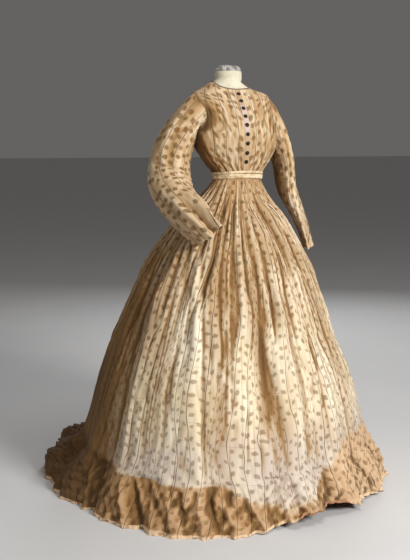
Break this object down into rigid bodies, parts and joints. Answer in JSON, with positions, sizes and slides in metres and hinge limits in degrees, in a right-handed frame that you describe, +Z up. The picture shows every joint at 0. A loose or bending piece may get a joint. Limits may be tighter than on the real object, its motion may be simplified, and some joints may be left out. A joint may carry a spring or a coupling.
{
  "type": "summer dress on limbless dress form",
  "caption": "Printed cotton day dress with round neck, buttoned bodice, long sleeves, belt and full gathered skirt with short train, worn on a limbless form with pole and round base.",
  "frame": {"origin": "on the floor at the centre of the stand's round base, under the centre of the waist", "axes": "+Z up, the wearer faces -Y, the wearer's left is +X, the train runs back along +Y"},
  "size_m": [1.2564, 1.5295, 1.478],
  "materials": {
    "printed_cotton": "fine cotton muslin, cream and tan ground with small brown and olive leaves and thin dark lines",
    "trim_cotton": "plain weave cotton, pale cream",
    "placket_cotton": "plain weave cotton, pale grey cream",
    "button": "near-black domed buttons, soft gloss",
    "form_calico": "off-white calico cover, drawn tight",
    "form_cap_cloth": "grey-white cloth cap, gathered",
    "stand_metal": "satin black paint"
  },
  "bodies": {
    "root": {"bodice_front_left": "printed_cotton", "bodice_front_right": "printed_cotton", "bodice_back": "printed_cotton", "neck_binding": "trim_cotton", "front_placket": "placket_cotton", "waist_band": "trim_cotton", "belt": "trim_cotton", "sleeve_right": "printed_cotton", "sleeve_left": "printed_cotton", "skirt_front": "printed_cotton", "skirt_left_side": "printed_cotton", "skirt_left_back": "printed_cotton", "skirt_left_train": "printed_cotton", "skirt_right_train": "printed_cotton", "skirt_right_back": "printed_cotton", "skirt_right_side": "printed_cotton", "button_1": "button", "button_2": "button", "button_3": "button", "button_4": "button", "button_5": "button", "button_6": "button", "button_7": "button", "button_8": "button", "button_9": "button", "form_torso": "form_calico", "form_neck_cap": "form_cap_cloth", "form_pole": "stand_metal", "form_base": "stand_metal"}
  },
  "joints": []
}
